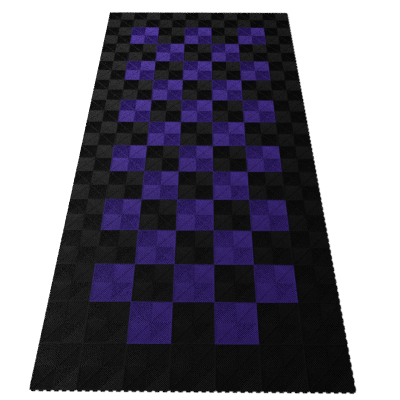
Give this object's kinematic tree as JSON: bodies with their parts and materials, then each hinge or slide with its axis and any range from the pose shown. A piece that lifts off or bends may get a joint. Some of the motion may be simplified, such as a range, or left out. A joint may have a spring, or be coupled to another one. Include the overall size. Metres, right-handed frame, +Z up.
{
  "type": "interlocking ribbed tile mat",
  "caption": "Flat mat of square ribbed drain-through plastic tiles clipped edge to edge in a purple and black checker inside a black border.",
  "frame": {"origin": "on the floor, under the centre of the mat's outer box", "axes": "+Z up, +X across the mat's seven columns towards the loop side, +Y along its fourteen rows towards the peg end"},
  "size_m": [2.8088, 5.6086, 0.019],
  "materials": {
    "purple_polypropylene": "satin moulded polypropylene with a fine grain",
    "black_polypropylene": "satin moulded polypropylene with a fine grain"
  },
  "bodies": {
    "row_01": {"black_border_tiles_row_01": "black_polypropylene"},
    "row_02": {"purple_tile_row_02_col_2": "purple_polypropylene", "purple_tile_row_02_col_4": "purple_polypropylene", "purple_tile_row_02_col_6": "purple_polypropylene", "black_border_tiles_row_02": "black_polypropylene", "black_field_tiles_row_02": "black_polypropylene"},
    "row_03": {"purple_tile_row_03_col_3": "purple_polypropylene", "purple_tile_row_03_col_5": "purple_polypropylene", "black_border_tiles_row_03": "black_polypropylene", "black_field_tiles_row_03": "black_polypropylene"},
    "row_04": {"purple_tile_row_04_col_2": "purple_polypropylene", "purple_tile_row_04_col_4": "purple_polypropylene", "purple_tile_row_04_col_6": "purple_polypropylene", "black_border_tiles_row_04": "black_polypropylene", "black_field_tiles_row_04": "black_polypropylene"},
    "row_05": {"purple_tile_row_05_col_3": "purple_polypropylene", "purple_tile_row_05_col_5": "purple_polypropylene", "black_border_tiles_row_05": "black_polypropylene", "black_field_tiles_row_05": "black_polypropylene"},
    "row_06": {"purple_tile_row_06_col_2": "purple_polypropylene", "purple_tile_row_06_col_4": "purple_polypropylene", "purple_tile_row_06_col_6": "purple_polypropylene", "black_border_tiles_row_06": "black_polypropylene", "black_field_tiles_row_06": "black_polypropylene"},
    "row_07": {"purple_tile_row_07_col_3": "purple_polypropylene", "purple_tile_row_07_col_5": "purple_polypropylene", "black_border_tiles_row_07": "black_polypropylene", "black_field_tiles_row_07": "black_polypropylene"},
    "row_08": {"purple_tile_row_08_col_2": "purple_polypropylene", "purple_tile_row_08_col_4": "purple_polypropylene", "purple_tile_row_08_col_6": "purple_polypropylene", "black_border_tiles_row_08": "black_polypropylene", "black_field_tiles_row_08": "black_polypropylene"},
    "row_09": {"purple_tile_row_09_col_3": "purple_polypropylene", "purple_tile_row_09_col_5": "purple_polypropylene", "black_border_tiles_row_09": "black_polypropylene", "black_field_tiles_row_09": "black_polypropylene"},
    "row_10": {"purple_tile_row_10_col_2": "purple_polypropylene", "purple_tile_row_10_col_4": "purple_polypropylene", "purple_tile_row_10_col_6": "purple_polypropylene", "black_border_tiles_row_10": "black_polypropylene", "black_field_tiles_row_10": "black_polypropylene"},
    "row_11": {"purple_tile_row_11_col_3": "purple_polypropylene", "purple_tile_row_11_col_5": "purple_polypropylene", "black_border_tiles_row_11": "black_polypropylene", "black_field_tiles_row_11": "black_polypropylene"},
    "row_12": {"purple_tile_row_12_col_2": "purple_polypropylene", "purple_tile_row_12_col_4": "purple_polypropylene", "purple_tile_row_12_col_6": "purple_polypropylene", "black_border_tiles_row_12": "black_polypropylene", "black_field_tiles_row_12": "black_polypropylene"},
    "row_13": {"purple_tile_row_13_col_3": "purple_polypropylene", "purple_tile_row_13_col_5": "purple_polypropylene", "black_border_tiles_row_13": "black_polypropylene", "black_field_tiles_row_13": "black_polypropylene"},
    "row_14": {"black_border_tiles_row_14": "black_polypropylene"}
  },
  "joints": [
    {"name": "seam_01_02", "type": "hinge", "parent": "row_01", "child": "row_02", "pos_m": [0, 2.39985, 0.0045], "axis": [-1, 0, 0], "range_deg": [0, 3]},
    {"name": "seam_02_03", "type": "hinge", "parent": "row_02", "child": "row_03", "pos_m": [0, 1.99985, 0.0045], "axis": [-1, 0, 0], "range_deg": [0, 3]},
    {"name": "seam_03_04", "type": "hinge", "parent": "row_03", "child": "row_04", "pos_m": [0, 1.59985, 0.0045], "axis": [-1, 0, 0], "range_deg": [0, 3]},
    {"name": "seam_04_05", "type": "hinge", "parent": "row_04", "child": "row_05", "pos_m": [0, 1.19985, 0.0045], "axis": [-1, 0, 0], "range_deg": [0, 3]},
    {"name": "seam_05_06", "type": "hinge", "parent": "row_05", "child": "row_06", "pos_m": [0, 0.79985, 0.0045], "axis": [-1, 0, 0], "range_deg": [0, 3]},
    {"name": "seam_06_07", "type": "hinge", "parent": "row_06", "child": "row_07", "pos_m": [0, 0.39985, 0.0045], "axis": [-1, 0, 0], "range_deg": [0, 3]},
    {"name": "seam_07_08", "type": "hinge", "parent": "row_07", "child": "row_08", "pos_m": [0, -0.00015, 0.0045], "axis": [-1, 0, 0], "range_deg": [0, 3]},
    {"name": "seam_08_09", "type": "hinge", "parent": "row_08", "child": "row_09", "pos_m": [0, -0.40015, 0.0045], "axis": [-1, 0, 0], "range_deg": [0, 3]},
    {"name": "seam_09_10", "type": "hinge", "parent": "row_09", "child": "row_10", "pos_m": [0, -0.80015, 0.0045], "axis": [-1, 0, 0], "range_deg": [0, 3]},
    {"name": "seam_10_11", "type": "hinge", "parent": "row_10", "child": "row_11", "pos_m": [0, -1.20015, 0.0045], "axis": [-1, 0, 0], "range_deg": [0, 3]},
    {"name": "seam_11_12", "type": "hinge", "parent": "row_11", "child": "row_12", "pos_m": [0, -1.60015, 0.0045], "axis": [-1, 0, 0], "range_deg": [0, 3]},
    {"name": "seam_12_13", "type": "hinge", "parent": "row_12", "child": "row_13", "pos_m": [0, -2.00015, 0.0045], "axis": [-1, 0, 0], "range_deg": [0, 3]},
    {"name": "seam_13_14", "type": "hinge", "parent": "row_13", "child": "row_14", "pos_m": [0, -2.40015, 0.0045], "axis": [-1, 0, 0], "range_deg": [0, 3]}
  ]
}
